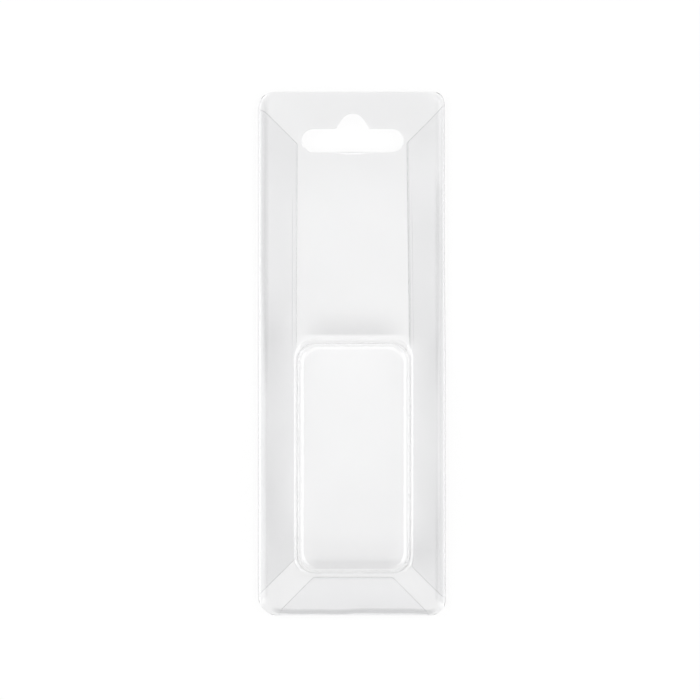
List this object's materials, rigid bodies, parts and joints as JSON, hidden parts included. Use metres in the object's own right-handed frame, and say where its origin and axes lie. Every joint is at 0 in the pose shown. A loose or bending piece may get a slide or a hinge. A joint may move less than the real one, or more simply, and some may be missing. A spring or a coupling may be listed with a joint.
{
  "type": "folded-edge blister tray",
  "caption": "Clear thermoformed hang-sell tray with a product pocket, a display hook slot and three edges folded back to hold a slide-in card.",
  "frame": {"origin": "middle of the footprint, on the plane of the flaps' outer faces, which is the plane the tray lies on", "axes": "+Z from the flaps to the pocket's top, +Y along the tray towards the hang hole and the open edge, +X across"},
  "size_m": [0.059, 0.1644, 0.0145],
  "materials": {
    "clear_sheet": "clear, glossy thermoformed PET sheet"
  },
  "bodies": {
    "root": {"blister_shell": "clear_sheet"}
  },
  "joints": []
}
